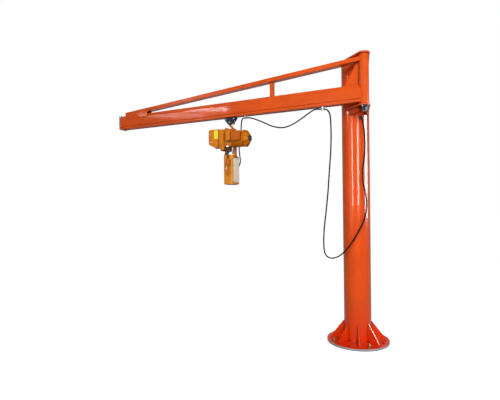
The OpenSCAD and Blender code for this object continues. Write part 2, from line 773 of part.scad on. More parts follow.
// Two straps from the housing's underside down the bucket's sides
module bucket_bracket() color(yellow) {
    left = bucket_x - bucket_w / 2;
    on_hoist() translate([0, 50, 0]) {
        translate([bucket_x + bucket_w / 2, -30, bucket_top_z - 26])
            cube([6, 60, housing_floor_z - bucket_top_z + 26]);
        side_plate(60)
            polygon([[left - 6, bucket_top_z - 44], [left, bucket_top_z - 44], [left, bucket_top_z + 12],
                [-56, housing_bottom_z], [-66, housing_bottom_z], [left - 6, bucket_top_z + 18]]);
    }
}

module chain_bucket() color(yellow) {
    low = [bucket_x - bucket_w / 2, bucket_front];
    high = [bucket_x + bucket_w / 2, bucket_front + bucket_depth];
    wall = [bucket_wall, bucket_wall];
    on_hoist() translate([0, 0, bucket_top_z - bucket_h]) difference() {
        linear_extrude(bucket_h) round_rect(low, high, 22);
        translate([0, 0, bucket_wall]) linear_extrude(bucket_h) round_rect(low + wall, high - wall, 18);
        translate([low[0], 0, bucket_h]) rotate([0, 45, 0])       // dipped rim on the left
            cube([sqrt(2) * rim_dip, 3 * bucket_depth, 2 * rim_dip], center = true);
        translate([0, high[1], bucket_h - back_dip]) rotate([-atan(back_dip / back_run), 0, 0])
            translate([-bucket_w, -2 * back_run, 0]) cube([3 * bucket_w, 3 * back_run, 2 * back_dip]);
    }
}

// One link of round wire, standing on end in the XZ plane
module chain_link() {
    bend = chain_wire * 1.15;
    leg = chain_pitch + chain_wire - 2 * bend;
    for (m = [0, 1]) mirror([0, 0, m]) translate([0, 0, leg / 2]) {
        bent_bar(bend, chain_wire / 2, 0, 180);
        translate([bend, 0, -leg / 2 - weld]) cylinder(r = chain_wire / 2, h = leg / 2 + 2 * weld, $fn = 32);
        translate([-bend, 0, -leg / 2 - weld]) cylinder(r = chain_wire / 2, h = leg / 2 + 2 * weld, $fn = 32);
    }
}

module load_chain() color(dark) {
    on_hoist() translate([chain_x, chain_y, block_top_z - 8])
        for (i = [0 : link_count - 1])
            translate([0, 0, i * link_step]) rotate(i % 2 * 90) chain_link();
}

// ---- hook ----

// A pin along y that an end link hangs on
module chain_pin(z, l) {
    translate([0, 0, z]) rotate([90, 0, 0]) cylinder(r = chain_pin_r, h = l, center = true);
}

module hook_block() color(yellow) {
    on_hoist() translate([chain_x, chain_y, 0]) {
        chain_pin(block_top_z - 8 - chain_pitch / 2 + seat + chain_pin_r, block_t - 4);
        difference() {
            union() {
                translate([0, 0, block_top_z - lobe_r + 2]) rotate([90, 0, 0])
                    cylinder(r = lobe_r - 2, h = block_t, center = true);
                translate([0, 0, swivel_z + lobe_r - 4]) rotate([90, 0, 0])
                    cylinder(r = lobe_r, h = block_t, center = true);
            }
            translate([-lobe_r, -block_t, swivel_z - lobe_r]) cube([2 * lobe_r, 2 * block_t, lobe_r]);
            translate([0, 0, block_top_z - 36]) cylinder(r = link_half_w + 1.8, h = 50);
            translate([0, 0, swivel_z - 1]) cylinder(r = 6 + slip, h = 17);
        }
    }
}

module load_hook() color(yellow) {
    bar = hook_bar / 2;
    neck_z = hook_r * sqrt(2);        // where the straight part meets the shank's axis
    on_hoist() translate([chain_x, chain_y, 0]) {
        difference() {
            translate([0, 0, hook_z]) {
                bent_bar(hook_r, bar, -180 - tip_turn, 45);
                rotate([0, 180 + tip_turn, 0]) translate([hook_r, 0, 0]) sphere(r = bar);
                rotate([0, -45, 0]) translate([hook_r, 0, 0]) cylinder(r = bar, h = hook_r);
                translate([0, 0, neck_z]) sphere(r = neck_r);
                translate([0, 0, neck_z]) cylinder(r = bar, h = swivel_z - hook_z - neck_z - 8);
                translate([latch_x, -3, neck_z - 3]) cube([-latch_x, 6, 6]);
                translate([latch_x, 0, neck_z]) rotate([90, 0, 0]) cylinder(r = 4.2, h = 6, center = true);
            }
            translate([latch_x, 0, hook_z + neck_z]) rotate([90, 0, 0])
                cylinder(r = 2.5 + slip, h = 8, center = true);
        }
        translate([0, 0, swivel_z - 8 - seat]) cylinder(r = 15, h = 8);
        translate([0, 0, swivel_z - 8]) cylinder(r = 6, h = 22);
    }
}

// Spring latch, hinged beside the shank, that closes the hook's mouth
module load_hook_latch() color(steel) {
    on_hoist() translate([chain_x + latch_x, chain_y, hook_z + hook_r * sqrt(2)]) {
        rotate([90, 0, 0]) cylinder(r = 2.5, h = 13, center = true);
        rotate([0, latch_lean, 0]) {
            translate([-1.5, -5.5, -latch_l]) cube([3, 11, latch_l - 5.5]);
            for (m = [0, 1]) mirror([0, m, 0]) {
                translate([-1.5, 3 + seat, -6.5]) cube([3, 2.2, 6.5]);
                translate([0, 3 + seat, 0]) rotate([-90, 0, 0]) cylinder(r = 3.6, h = 2.2);
            }
        }
    }
}

base_plate();
base_ribs();
column_tube();
upper_bracket_plate();
lower_bracket_plate();
lower_bracket_webs();
pivot_pins();
pivot_washers();
pivot_nut();
cable_grommet();
supply_cable();
jib_post();
post_end_discs();
track_rail();
rail_end_cap();
rail_stops();
top_chord();
chord_strut();
corner_gusset();
tip_side_plates();
cable_clip();
festoon_cable();
trolley_cheeks();
trolley_body();
trolley_wheels();
load_pin();
cable_carrier();
hoist_cable();
gear_housing();
control_cover();
suspension_lug();
top_hook();
top_hook_latch();
motor_barrel();
terminal_box();
motor_end_cover();
motor_end_disc();
cable_glands();
chain_guide();
bucket_bracket();
chain_bucket();
load_chain();
hook_block();
load_hook();
load_hook_latch();
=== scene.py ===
# Pillar jib crane with a hollow track and an electric chain hoist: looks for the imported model.
# Metres. The origin is on the floor at the column's axis, +Z up, and the jib points along -X.
import math

import bmesh
import bpy
from mathutils import Matrix, Vector, noise


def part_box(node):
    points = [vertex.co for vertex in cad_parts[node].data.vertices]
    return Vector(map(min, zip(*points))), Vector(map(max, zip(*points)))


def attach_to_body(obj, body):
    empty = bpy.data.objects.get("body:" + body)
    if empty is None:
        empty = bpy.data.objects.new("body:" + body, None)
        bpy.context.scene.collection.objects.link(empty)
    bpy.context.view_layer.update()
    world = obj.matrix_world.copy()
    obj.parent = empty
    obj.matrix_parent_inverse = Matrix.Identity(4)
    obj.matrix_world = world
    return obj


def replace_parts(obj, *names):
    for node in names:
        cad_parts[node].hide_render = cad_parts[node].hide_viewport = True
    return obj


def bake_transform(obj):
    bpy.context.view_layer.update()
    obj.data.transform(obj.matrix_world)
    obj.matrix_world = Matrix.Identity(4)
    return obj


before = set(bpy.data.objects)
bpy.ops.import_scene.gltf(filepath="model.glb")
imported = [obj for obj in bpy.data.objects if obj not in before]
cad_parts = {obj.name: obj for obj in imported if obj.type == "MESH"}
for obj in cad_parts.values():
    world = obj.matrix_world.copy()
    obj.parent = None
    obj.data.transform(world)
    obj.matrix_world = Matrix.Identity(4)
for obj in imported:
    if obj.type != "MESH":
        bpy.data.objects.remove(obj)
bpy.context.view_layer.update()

# ---------------------------------------------------------------------------
# Camera. It stands in front of the crane to the right of the column, at chest
# height, and looks level past the column towards the jib's tip.
EYE = (0.943, -4.232, 1.475)
YAW, PITCH, ROLL = 0.473, -0.005, -0.013  # radians
camera_data = bpy.data.cameras.new("camera")
camera_data.sensor_width = 36.0
camera_data.lens = 29.52
camera_data.clip_end = 200.0
camera = bpy.data.objects.new("camera", camera_data)
camera.matrix_world = (
    Matrix.Translation(EYE)
    @ Matrix.Rotation(YAW, 4, "Z")
    @ Matrix.Rotation(math.pi / 2 + PITCH, 4, "X")
    @ Matrix.Rotation(ROLL, 4, "Z")
)
bpy.context.scene.collection.objects.link(camera)
bpy.context.scene.camera = camera
bpy.context.scene.view_settings.view_transform = "Standard"

# ---------------------------------------------------------------------------
# Control cable. Three lengths of round black 14 mm sheathed cable: from the
# column's grommet down in a long loop and up to the clip under the track, from
# the clip to the rolling carrier, and from the carrier down behind the hoist.
CABLE_D = 0.014
CURVE_STEPS = 4  # points on the drawn curve for each span of a route
SUPPLY_POINTS = [  # millimetres, like the two routes below
    (80.8, -119.8, 2258), (86, -128, 2256), (96, -137, 2235), (115, -138, 2106),
    (121, -136, 1970), (113, -138, 1860), (98, -142, 1746), (95, -142, 1645),
    (110, -138, 1554), (129, -134, 1464), (130, -134, 1374), (116, -138, 1284),
    (84, -146, 1194), (30, -158, 1090), (-26, -168, 1000), (-87, -178, 924),
    (-148, -188, 876), (-210, -198, 860), (-256, -206, 880), (-278, -212, 930),
    (-282, -218, 1030), (-273, -224, 1160), (-251, -228, 1330), (-228, -232, 1526),
    (-209, -235, 1754), (-194, -238, 1924), (-188, -238, 2095), (-191, -238, 2240),
    (-200, -238.2, 2300), (-213, -238.2, 2329), (-233, -238.2, 2347), (-255.2, -238.2, 2353),
]
FESTOON_POINTS = [
    (-285.8, -238.2, 2353), (-310, -238.2, 2358), (-340, -238, 2359), (-388, -238, 2346),
    (-513, -238, 2272), (-620, -238, 2223), (-718, -238, 2209), (-828, -238, 2236),
    (-934, -238, 2288), (-1060, -238, 2342), (-1129.3, -238.2, 2353),
]
HOIST_POINTS = [
    (-1159.8, -238.2, 2353), (-1180, -235, 2349), (-1206, -214, 2322), (-1240, -165, 2245),
    (-1299, -105, 2071), (-1308, -80, 1974), (-1312, -58, 1900), (-1340, -50, 1840),
    (-1390, -52, 1835), (-1424, -70, 1890), (-1440, -110, 1960), (-1451, -147, 1997),
    (-1451.5, -150.2, 2012), (-1451.5, -150.2, 2027.7),
]


def clear_selection():
    """Nothing stays selected, so that an operator acts on new geometry only."""
    if bpy.context.object and bpy.context.object.mode != "OBJECT":
        bpy.ops.object.mode_set(mode="OBJECT")
    bpy.ops.object.select_all(action="DESELECT")


def pick(piece):
    """Selects one piece alone, for the operators that follow."""
    clear_selection()
    piece.select_set(True)
    bpy.context.view_layer.objects.active = piece


def use(piece, finish):
    """Gives a piece one finish in place of what it has."""
    piece.data.materials.clear()
    piece.data.materials.append(finish)


def smooth_route(points, steps):
    """Points in metres on a smooth curve through a route given in millimetres."""
    p = [Vector(q) / 1000 for q in points]
    out = []
    for i in range(len(p) - 1):
        a, b, c, d = p[max(i - 1, 0)], p[i], p[i + 1], p[min(i + 2, len(p) - 1)]
        for k in range(steps):
            t = k / steps
            out.append(0.5 * (2 * b + (c - a) * t + (2 * a - 5 * b + 4 * c - d) * t * t
                              + (3 * b - a - 3 * c + d) * t * t * t))
    return out + [p[-1]]


def feed(tree, node, inputs):
    """Gives each input of a shader node its value, or another node's output."""
    for key, value in inputs.items():
        if isinstance(value, bpy.types.NodeSocket):
            tree.links.new(value, node.inputs[key])
        else:
            node.inputs[key].default_value = value


def add(tree, kind, inputs, **settings):
    """Adds a shader node with its settings and inputs."""
    node = tree.nodes.new("ShaderNode" + kind)
    for key, value in settings.items():
        setattr(node, key, value)
    feed(tree, node, inputs)
    return node


def ramp(tree, fac, low, high):
    """A colour between two stops, each a position and a colour."""
    node = add(tree, "ValToRGB", {"Fac": fac})
    for stop, (position, colour) in zip(node.color_ramp.elements, (low, high)):
        stop.position = position
        stop.color = (*colour, 1)
    return node.outputs["Color"]


def cable_sheath():
    """Black rubber sheath: matt, faintly streaked along its length, with dust on it."""
    m = bpy.data.materials.new("cable_sheath")
    m.use_nodes = True
    tree = m.node_tree
    spot = add(tree, "TexCoord", {}).outputs["Object"]
    dust = add(tree, "TexNoise", {"Vector": spot, "Scale": 40, "Detail": 6}).outputs["Fac"]
    grain = add(tree, "Bump", {"Height": dust, "Strength": 0.25, "Distance": 0.0004})
    feed(tree, tree.nodes["Principled BSDF"], {
        "Base Color": ramp(tree, dust, (0, (0.002, 0.004, 0.004)), (1, (0.010, 0.014, 0.014))),
        "Roughness": 0.6,
        "Specular IOR Level": 0.02,
        "Normal": grain.outputs["Normal"],
    })
    return m


sheath = cable_sheath()


def cable(name, points, node):
    """One length of cable along a smooth route, in place of a CAD node."""
    path = smooth_route(points, CURVE_STEPS)
    curve = bpy.data.curves.new(name, "CURVE")
    curve.dimensions = "3D"
    line = curve.splines.new("POLY")
    line.points.add(len(path) - 1)
    for spot, q in zip(line.points, path):
        spot.co = (*q, 1)
    curve.bevel_depth = CABLE_D / 2
    curve.bevel_resolution = 4
    curve.use_fill_caps = True
    piece = bpy.data.objects.new(name, curve)
    bpy.context.scene.collection.objects.link(piece)
    pick(piece)
    bpy.ops.object.convert(target="MESH")
    piece = bpy.context.object
    bpy.ops.object.shade_smooth_by_angle(angle=math.radians(50))
    use(piece, sheath)
    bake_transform(piece)
    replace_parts(piece, node)


cable("supply_cable_sheath", SUPPLY_POINTS,
      "supply_cable")
cable("festoon_cable_sheath", FESTOON_POINTS,
      "festoon_cable")
cable("hoist_cable_sheath", HOIST_POINTS,
      "hoist_cable")

# ---------------------------------------------------------------------------
# Stage. A pale floor and backdrop that read as white, and soft lamps: a broad
# key over the camera, strips that gloss alone reflects as streaks on the pipe,
# the track and the post, and weak fills from the left, right, back and below.
GLOSS_SEES = 0.35  # share of the white background that gloss and metal reflect
FLOOR_GLOW = 0.95
AMBIENT = 0.07
WHITE = (1, 1, 1, 1)


def seen_share(tree, *rays):
    """1 for the kinds of ray named, GLOSS_SEES for a reflected ray and 0 for the rest."""
    path = add(tree, "LightPath", {})
    share = add(tree, "Math", {0: path.outputs["Is Glossy Ray"], 1: GLOSS_SEES}, operation="MULTIPLY")
    for ray in rays:
        share = add(tree, "Math", {0: path.outputs[ray], 1: share.outputs[0]}, operation="MAXIMUM")
    return share.outputs[0]


clear_selection()
bpy.ops.mesh.primitive_plane_add(size=60, location=(0, 0, -0.0005))
floor = bpy.context.object
floor.name = "floor"
ground = bpy.data.materials.new("pale_floor")
ground.use_nodes = True
tree = ground.node_tree
glow = add(tree, "Math", {0: seen_share(tree, "Is Camera Ray"), 1: FLOOR_GLOW}, operation="MULTIPLY")
feed(tree, tree.nodes["Principled BSDF"], {
    "Base Color": (0.20, 0.20, 0.20, 1),
    "Roughness": 0.75,
    "Emission Color": WHITE,
    "Emission Strength": glow.outputs[0],
})
use(floor, ground)

world = bpy.data.worlds.new("studio")
bpy.context.scene.world = world
world.use_nodes = True
tree = world.node_tree
ambient = tree.nodes["Background"]
feed(tree, ambient, {"Color": WHITE, "Strength": AMBIENT})
backdrop = add(tree, "Background", {"Color": WHITE, "Strength": 1.0})
split = add(tree, "MixShader", {
    "Fac": seen_share(tree, "Is Camera Ray", "Is Transmission Ray"),
    1: ambient.outputs[0],
    2: backdrop.outputs[0],
})
feed(tree, tree.nodes["World Output"], {"Surface": split.outputs[0]})


def softbox(name, place, aim, wide, high, watts, lights="all"):
    """A soft lamp at place that looks at aim.

    One that lights only "gloss" is seen as a streak, and one that lights only "surface" makes none."""
    data = bpy.data.lights.new(name, "AREA")
    data.shape = "RECTANGLE"
    data.size, data.size_y = wide, high
    data.energy = watts
    lamp = bpy.data.objects.new(name, data)
    lamp.location = place
    lamp.rotation_euler = (Vector(aim) - Vector(place)).to_track_quat("-Z", "Y").to_euler()
    lamp.visible_diffuse = lights != "gloss"
    lamp.visible_glossy = lights != "surface"
    bpy.context.scene.collection.objects.link(lamp)


softbox("key", (2.0, -5.6, 5.3), (-0.6, -0.2, 1.5), 4.5, 3.5, 415, lights="surface")
softbox("column_strip", (2.38, 0.52, 2.0), (0.0, 0.0, 2.0), 1.3, 1.7, 260, lights="gloss")
softbox("column_strip_left", (-1.13, -3.84, 2.08), (0.0, 0.0, 2.08), 0.45, 1.58, 85, lights="gloss")
softbox("column_strip_right", (1.92, -3.51, 2.08), (0.0, 0.0, 2.08), 0.50, 1.58, 100, lights="gloss")
softbox("rail_strip_high", (-3.38, -2.71, 3.14), (-1.735, -0.28, 2.51), 1.1, 0.030, 7, lights="gloss")
softbox("rail_strip_low", (-3.90, -2.61, 3.06), (-2.10, -0.28, 2.47), 1.2, 0.030, 2.5, lights="gloss")
softbox("post_strip", (-4.6, -3.93, 4.25), (0.1, -0.2, 2.6), 0.3, 0.9, 30, lights="gloss")
softbox("fill", (-3.3, -5.3, 2.0), (-0.2, -0.2, 1.6), 2.6, 2.6, 40)
softbox("right_fill", (3.2, -2.4, 2.3), (-1.2, -0.3, 1.9), 1.2, 1.2, 48, lights="surface")
softbox("back_fill", (-1.2, 5.6, 3.4), (-0.6, 0.0, 1.6), 3.0, 3.0, 150, lights="surface")
softbox("low_fill", (1.5, -4.5, 0.7), (0.0, 0.0, 0.5), 1.6, 1.0, 20, lights="surface")


# ---------------------------------------------------------------------------
# Column. A 273 mm pipe stands on a round 20 mm flange and is stayed by eight
# ribs, all fillet-welded and sprayed orange-red. The flange's rim is left bare,
# and passivated anchor studs with nuts hold it down, with three holes left open.
ORANGE = (0.78, 0.078, 0.003)
ORANGE_FOOT = (0.72, 0.032, 0.002)
PIPE_R = 0.1365
PIPE_WELD_R = PIPE_R + 0.001
RIB_FIRST, RIB_STEP = -30, 45  # headings in degrees
RIB_TOE, RIB_HEEL, RIB_TOP, RIB_HIGH = 0.266, 0.145, 0.139, 0.17  # along a rib's foot and up the pipe
RIB_HALF_T = 0.0055
ANCHOR_R = 0.256
OPEN_HOLES = (0, 1, 6)


def mix(tree, factor, a, b, blend_type="MIX"):
    """One colour laid over another by a factor."""
    node = add(tree, "Mix", {"Factor": factor, "A": a, "B": b}, data_type="RGBA", blend_type=blend_type)
    return node.outputs["Result"]


def span(tree, value, low, high, to_low=0.0, to_high=1.0, interpolation="LINEAR"):
    """Where a value lies between two others, as a share or between two results."""
    node = add(tree, "MapRange", {"Value": value, "From Min": low, "From Max": high,
                                  "To Min": to_low, "To Max": to_high}, interpolation_type=interpolation)
    return node.outputs["Result"]


def enamel(name, top, foot=None, rough=0.24, wear=0.5, coat=0.45, bare=None,
           grime=(0.05, 0.012, 0.006), shade_reach=0.03, slot="red_paint"):
    """Sprayed gloss enamel on steel: brush-scale colour drift, orange peel, rubbed edges.

    foot is the colour near the floor. bare, if given, is a (radius, colour) beyond
    which the paint stops. Shade is painted into the corners: the colour darkens
    within the given reach of them."""
    m = bpy.data.materials.new(name)
    m["slot"] = slot
    m.use_nodes = True
    tree = m.node_tree
    spot = add(tree, "TexCoord", {}).outputs["Object"]
    drift = add(tree, "TexNoise", {"Vector": spot, "Scale": 3.5, "Detail": 5}).outputs["Fac"]
    colour = ramp(tree, drift, (0.3, [c * 0.86 for c in top]), (0.72, [min(1, c * 1.08) for c in top]))
    if foot:
        height = add(tree, "SeparateXYZ", {0: spot}).outputs["Z"]
        fade = span(tree, height, -0.10, 0.50, interpolation="SMOOTHSTEP")
        colour = mix(tree, fade, (*foot, 1), colour)
    # Rubbed and chipped edges show the dark primer.
    rounded = add(tree, "Bevel", {"Radius": 0.0022}, samples=4).outputs["Normal"]
    flat = add(tree, "NewGeometry", {}).outputs["Normal"]
    turned = add(tree, "VectorMath", {0: rounded, 1: flat}, operation="DOT_PRODUCT").outputs["Value"]
    edge = span(tree, turned, 0.985, 0.90)
    chips = add(tree, "TexNoise", {"Vector": spot, "Scale": 55, "Detail": 8}).outputs["Fac"]
    chipped = span(tree, chips, 0.62 - 0.1 * wear, 0.70 - 0.1 * wear)
    worn = add(tree, "Math", {0: edge, 1: chipped}, operation="MULTIPLY").outputs[0]
    colour = mix(tree, worn, colour, (*grime, 1))
    if bare:
        radius, metal = bare
        across = add(tree, "VectorMath", {0: spot, 1: (1, 1, 0)}, operation="MULTIPLY").outputs[0]
        far = add(tree, "VectorMath", {0: across}, operation="LENGTH").outputs["Value"]
        colour = mix(tree, span(tree, far, radius, radius + 0.0008), colour, (*metal, 1))
    # Painted shade in the corners: ambient occlusion darkens the colour near them.
    corner_shade = add(tree, "AmbientOcclusion", {"Distance": shade_reach}, samples=6).outputs["AO"]
    colour = mix(tree, 1.0, colour, span(tree, corner_shade, 0.35, 0.80, to_low=0.32), "MULTIPLY")
    peel = add(tree, "TexNoise", {"Vector": spot, "Scale": 130, "Detail": 2}).outputs["Fac"]
    normal = add(tree, "Bump", {"Height": peel, "Strength": 0.10, "Distance": 0.0012,
                                "Normal": rounded}).outputs["Normal"]
    feed(tree, tree.nodes["Principled BSDF"], {
        "Base Color": colour,
        "Roughness": span(tree, drift, 0, 1, rough - 0.05, rough + 0.09),
        "Specular IOR Level": 0.08,
        "Normal": normal,
        "Coat Weight": coat,
        "Coat Roughness": 0.05,
        "Coat IOR": 1.25,
        "Coat Normal": normal,
    })
    return m


def dress(finish, *nodes):
    """Gives CAD nodes a finish in place of their plain one."""
    for node in nodes:
        use(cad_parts[node], finish)


def settle(piece):
    """Moves a piece's place, turn and scale into its mesh."""
    pick(piece)
    bpy.ops.object.transform_apply(location=True, rotation=True, scale=True)
    return piece


def attach(piece, name, finish, body):
    """Names a finished piece, gives it its finish and fixes it to a body."""
    piece.name = name
    settle(piece)
    use(piece, finish)
    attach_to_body(piece, body)
    return piece


def shape(piece, kind, **settings):
    """Adds a modifier to a piece and applies it."""
    pick(piece)
    change = piece.modifiers.new(kind.lower(), kind)
    for key, value in settings.items():
        setattr(change, key, value)
    bpy.ops.object.modifier_apply(modifier=change.name)


def soften(piece, width, segments=2):
    """Rounds a piece's sharp edges."""
    shape(piece, "BEVEL", width=width, segments=segments, limit_method="ANGLE")
    bpy.ops.object.shade_smooth_by_angle(angle=math.radians(35))


def join(pieces):
    """Makes one piece of several."""
    clear_selection()
    for piece in pieces:
        piece.select_set(True)
    bpy.context.view_layer.objects.active = pieces[0]
    bpy.ops.object.join()
    return pieces[0]


def lay(piece, place, facing):
    """Turns a piece that was built standing on the XY plane onto a face that looks along facing."""
    up = Vector(facing).normalized()
    side = (Vector((0, 0, 1)) if abs(up.z) < 0.9 else Vector((0, 1, 0))).cross(up).normalized()
    turn = Matrix((side, up.cross(side), up)).transposed().to_4x4()
    piece.matrix_world = Matrix.Translation(place) @ turn
    return settle(piece)


def round_bar(radius, low, high, sides=32):
    """A plain upright cylinder between two heights, at the origin."""
    clear_selection()
    bpy.ops.mesh.primitive_cylinder_add(
        vertices=sides, radius=radius, depth=high - low, location=(0, 0, (low + high) / 2))
    return settle(bpy.context.object)


def bolt(name, place, facing, across, high, finish, body, washer=0.0018, shank=0.0):
    """A hexagon head or nut on its washer, on a face, with the stud's end if shank is given."""
    head = round_bar(across / math.sqrt(3), washer, washer + high, 6)
    soften(head, 0.07 * across)
    ring = round_bar(0.64 * across, 0.0, washer)
    parts = [head, ring]
    if shank:
        stud = round_bar(0.29 * across, washer, washer + high + shank)
        soften(stud, 0.04 * across)
        parts.append(stud)
    return attach(lay(join(parts), place, facing), name, finish, body)


def weld(name, corners, size, finish, body):
    """A rippled bead of weld metal, painted over, along the given corners."""
    path = [Vector(corners[0])]
    for a, b in zip(corners, corners[1:]):
        a, b = Vector(a), Vector(b)
        pieces = max(1, round((b - a).length / 0.005))
        path += [a.lerp(b, (k + 1) / pieces) for k in range(pieces)]
    curve = bpy.data.curves.new(name, "CURVE")
    curve.dimensions = "3D"
    line = curve.splines.new("POLY")
    line.points.add(len(path) - 1)
    for i, (spot, q) in enumerate(zip(line.points, path)):
        spot.co = (*q, 1)
        spot.radius = 1 + 0.14 * math.sin(2.3 * i) + 0.12 * noise.noise(q * 60)
    curve.bevel_depth = size
    curve.bevel_resolution = 2
    curve.use_fill_caps = True
    bead = bpy.data.objects.new(name, curve)
    bpy.context.scene.collection.objects.link(bead)
    pick(bead)
    bpy.ops.object.convert(target="MESH")
    bpy.ops.object.shade_smooth_by_angle(angle=math.radians(70))
    return attach(bpy.context.object, name, finish, body)


def arc(radius, z, start, end, steps=48):
    """Points on an upright circle's plan round the column's axis, between two headings in degrees."""
    turns = [math.radians(start + (end - start) * k / steps) for k in range(steps + 1)]
    return [Vector((radius * math.cos(a), radius * math.sin(a), z)) for a in turns]


column_paint = enamel("column_enamel", ORANGE, ORANGE_FOOT, rough=0.22, coat=1.0)
flange_paint = enamel("flange_enamel", ORANGE_FOOT, rough=0.3, bare=(0.3085, (0.40, 0.41, 0.44)))
dress(column_paint, "column_tube", "base_ribs")
dress(flange_paint, "base_plate")
FLANGE_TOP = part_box("base_plate")[1][2]
weld("column_foot_weld", arc(PIPE_WELD_R, FLANGE_TOP, 0, 360), 0.0055, column_paint, "column")
for i in range(8):
    heading = math.radians(RIB_FIRST + RIB_STEP * i)
    out = Vector((math.cos(heading), math.sin(heading), 0))
    side = Vector((-out.y, out.x, 0)) * RIB_HALF_T
    foot, head = Vector((0, 0, FLANGE_TOP)), Vector((0, 0, FLANGE_TOP + RIB_HIGH))
    for name, face in (("rib_weld", side), ("rib_weld_back", -side)):
        weld(f"{name}_{i}", [foot + out * RIB_TOE + face, foot + out * RIB_HEEL + face,
                             head + out * RIB_TOP + face], 0.004, column_paint, "column")


def steel(name, colour, rough=0.32, metal=1.0, shine=0.5, slot="dark_steel"):
    """Bare or plated steel with fine scratches and slight staining."""
    m = bpy.data.materials.new(name)
    m["slot"] = slot
    m.use_nodes = True
    tree = m.node_tree
    spot = add(tree, "TexCoord", {}).outputs["Object"]
    stain = add(tree, "TexNoise", {"Vector": spot, "Scale": 60, "Detail": 7}).outputs["Fac"]
    rounded = add(tree, "Bevel", {"Radius": 0.001}, samples=4).outputs["Normal"]
    bump = add(tree, "Bump", {"Height": stain, "Strength": 0.2, "Distance": 0.0005, "Normal": rounded})
    feed(tree, tree.nodes["Principled BSDF"], {
        "Base Color": ramp(tree, stain, (0.32, [c * 0.6 for c in colour]), (0.68, colour)),
        "Metallic": metal,
        "Roughness": span(tree, stain, 0, 1, rough - 0.1, rough + 0.15),
        "Specular IOR Level": shine,
        "Normal": bump.outputs["Normal"],
    })
    return m


zinc = steel("zinc_plate", (0.62, 0.63, 0.66), slot="steel")
dark_steel = steel("oiled_dark_steel", (0.06, 0.065, 0.075), rough=0.35)
grey_steel = steel("galvanised", (0.42, 0.44, 0.46), rough=0.4, slot="grey_steel")
black = steel("black_moulding", (0.02, 0.022, 0.03), rough=0.35, metal=0.0, slot="black_plastic")
yellow_zinc = steel("yellow_passivated", (0.48, 0.36, 0.16), slot="steel")
for i in range(8):
    heading = math.radians(RIB_FIRST + RIB_STEP * (i + 0.5))
    spot = Vector((ANCHOR_R * math.cos(heading), ANCHOR_R * math.sin(heading), FLANGE_TOP))
    if i not in OPEN_HOLES:
        bolt(f"anchor_nut_{i}", spot, (0, 0, 1), 0.030, 0.016, yellow_zinc, "column", 0.003, 0.016)

# ---------------------------------------------------------------------------
# Bracket and pivot. Two plates burnt from 14 to 16 mm steel reach from the pipe
# to the pivot pins, the lower one on two webs, all welded on. A black nut with
# three grub screws closes the lower pin, and a rubber grommet lets the cable out.
dress(column_paint, "upper_bracket_plate", "lower_bracket_plate", "lower_bracket_webs")
PIVOT = Vector((0.1375, -0.238157, 0))
PLATE_WELD = 0.0045
NUT_R = 0.0432
pin_steel = steel("oiled_pin_steel", (0.20, 0.20, 0.22), rough=0.5, metal=0.12, shine=0.2, slot="steel")
dress(pin_steel, "pivot_pins", "pivot_washers")
dress(steel("blackened_nut", (0.02, 0.02, 0.025), rough=0.4, metal=0.0, shine=0.12), "pivot_nut")
dress(black, "cable_grommet")
lower_plate, upper_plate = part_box("lower_bracket_plate"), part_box("upper_bracket_plate")
for name, z, start, end in (("lower_plate_weld", lower_plate[0][2], -112, -8),
                            ("lower_plate_weld_top", lower_plate[1][2], -112, -8),
                            ("column_top_weld", upper_plate[0][2], 0, 360)):
    weld(name, arc(PIPE_WELD_R, z, start, end), PLATE_WELD, column_paint, "column")


def peg(name, place, facing, radius, low, high, finish, body, edge=0.0, sides=32):
    """A round bar between two heights over a face, with its edges rounded by edge."""
    bar = round_bar(radius, low, high, sides)
    if edge:
        soften(bar, edge)
    attach(lay(bar, place, facing), name, finish, body)


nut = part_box("pivot_nut")
for i, turn in enumerate((-100, 20, 140)):
    out = Vector((math.cos(math.radians(turn)), math.sin(math.radians(turn)), 0))
    peg(f"nut_grub_screw_{i}", PIVOT + out * NUT_R + Vector((0, 0, nut[1][2] - 0.007)), out,
        0.005, 0, 0.0022, zinc, "column", sides=24)


def strain_relief(name, place, facing, root, long, middle, edge, body):
    """A tapered rubber sleeve round a cable where it leaves its hole."""
    clear_selection()
    bpy.ops.mesh.primitive_cone_add(vertices=32, radius1=root, radius2=CABLE_D / 2 + 0.0006, depth=long,
                                    location=(0, 0, middle))
    sleeve = settle(bpy.context.object)
    soften(sleeve, edge)
    attach(lay(sleeve, place, facing), name, black, body)


strain_relief("cable_strain_relief", (0.0808, -0.1198, 2.258), (0.522, -0.644, -0.56),
              0.0125, 0.034, 0.011, 0.001, "column")

# ---------------------------------------------------------------------------
# Jib. Post, grooved hollow track, sloping top chord, strut, gusset and tip
# plates, welded together with visible beads and sprayed in one go. The track's
# open end is closed by a bare plate.
jib_paint = enamel("jib_enamel", (0.71, 0.082, 0.003), rough=0.26, coat=0.9)
dress(jib_paint, "jib_post", "post_end_discs", "track_rail", "top_chord", "chord_strut",
      "corner_gusset", "tip_side_plates")
dress(dark_steel, "rail_stops")
dress(grey_steel, "rail_end_cap", "cable_clip")
rail, strut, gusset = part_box("track_rail"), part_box("chord_strut"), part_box("corner_gusset")
tips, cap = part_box("tip_side_plates"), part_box("rail_end_cap")
JIB_Y = PIVOT.y
